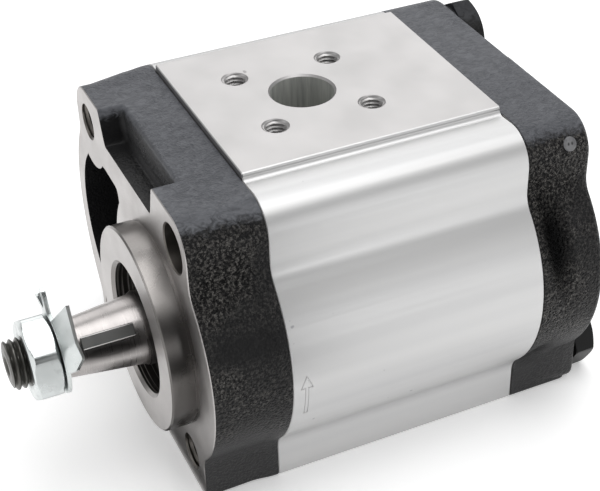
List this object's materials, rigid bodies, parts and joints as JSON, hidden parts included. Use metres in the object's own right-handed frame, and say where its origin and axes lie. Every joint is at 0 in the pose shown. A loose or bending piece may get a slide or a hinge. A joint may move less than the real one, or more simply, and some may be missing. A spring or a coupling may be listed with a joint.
{
  "type": "hydraulic gear pump",
  "caption": "Aluminium-bodied external gear pump with black cast end covers, a piloted mounting flange and a tapered keyed drive shaft with nut and lock washer.",
  "frame": {"origin": "Centre of the bounding box in plan, on the underside of the pump body.", "axes": "+Y runs from the drive shaft to the rear cover, +Z points out of the pressure port, +X is on the side of the drive shaft."},
  "size_m": [0.1014, 0.1468, 0.0795],
  "materials": {
    "black_cast": "black painted casting, machined faces bare",
    "aluminium": "clean extruded aluminium",
    "ground_steel": "ground",
    "zinc": "bright zinc plated",
    "dark_steel": "blackened",
    "bearing_alloy": "machined",
    "bronze": "plain bearing lining",
    "rubber": "matt black",
    "nylon": "natural nylon"
  },
  "bodies": {
    "housing": {"front_cover": "black_cast", "pump_body": "aluminium", "rear_cover": "black_cast", "front_bearing_block": "bearing_alloy", "rear_bearing_block": "bearing_alloy", "front_drive_bush": "bronze", "front_driven_bush": "bronze", "rear_drive_bush": "bronze", "rear_driven_bush": "bronze", "front_axial_seal": "rubber", "rear_axial_seal": "rubber", "front_backup_ring": "nylon", "rear_backup_ring": "nylon", "front_case_seal": "rubber", "rear_case_seal": "rubber", "shaft_seal": "rubber", "seal_spring": "ground_steel", "retaining_ring": "dark_steel", "clamp_bolt_upper": "dark_steel", "clamp_bolt_lower": "dark_steel", "dowel_pin_front_upper": "ground_steel", "dowel_pin_front_lower": "ground_steel", "dowel_pin_rear_upper": "ground_steel", "dowel_pin_rear_lower": "ground_steel"},
    "drive_shaft": {"drive_gear_shaft": "ground_steel", "woodruff_key": "dark_steel", "lock_washer": "zinc", "shaft_nut": "zinc"},
    "driven_gear": {"driven_gear_shaft": "ground_steel"}
  },
  "joints": [
    {"name": "drive_spin", "type": "hinge", "parent": "housing", "child": "drive_shaft", "pos_m": [0.0165, 0, 0.0383], "axis": [0, 1, 0], "continuous": true},
    {"name": "driven_spin", "type": "hinge", "parent": "housing", "child": "driven_gear", "pos_m": [-0.0165, 0, 0.0383], "axis": [0, 1, 0], "continuous": true}
  ],
  "couplings": [
    {"joint": "driven_spin", "follows": "drive_spin", "ratio": -1}
  ]
}
